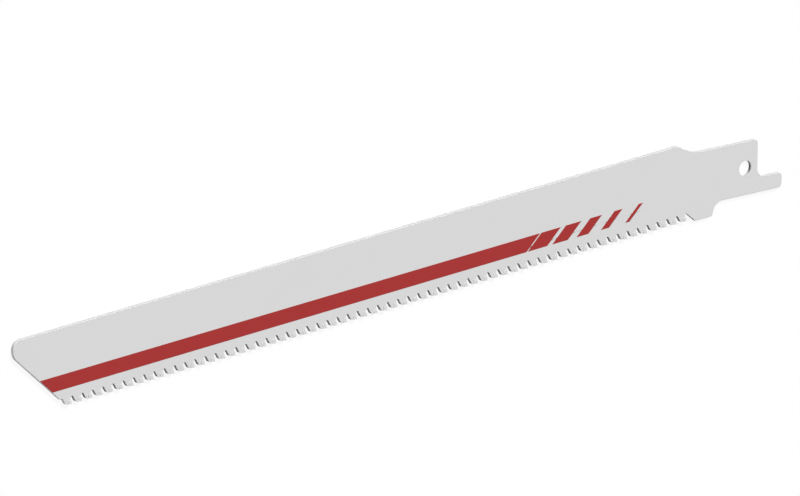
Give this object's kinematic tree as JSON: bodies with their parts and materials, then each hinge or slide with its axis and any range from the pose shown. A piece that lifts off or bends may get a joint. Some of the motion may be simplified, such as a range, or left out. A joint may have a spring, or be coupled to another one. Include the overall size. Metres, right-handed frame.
{
  "type": "reciprocating saw blade",
  "caption": "Long flat saw blade with carbide-tipped teeth, a slanted nose and a stepped tang with a pin hole. A printed band breaks up into slanted dashes towards the tang.",
  "frame": {"origin": "centre of the pin hole, halfway through the thickness of the steel", "axes": "+X along the back edge, from the nose to the tang; +Y square to it in the plane of the blade, from the teeth to the back edge; +Z out of the printed face"},
  "size_m": [0.225, 0.0188, 0.001],
  "materials": {
    "painted_steel": "satin pale grey coating",
    "carbide": "ground cemented carbide",
    "red_ink": "satin pad-printed ink"
  },
  "bodies": {
    "root": {"blade_body": "painted_steel", "carbide_tips": "carbide", "red_print": "red_ink"}
  },
  "joints": []
}
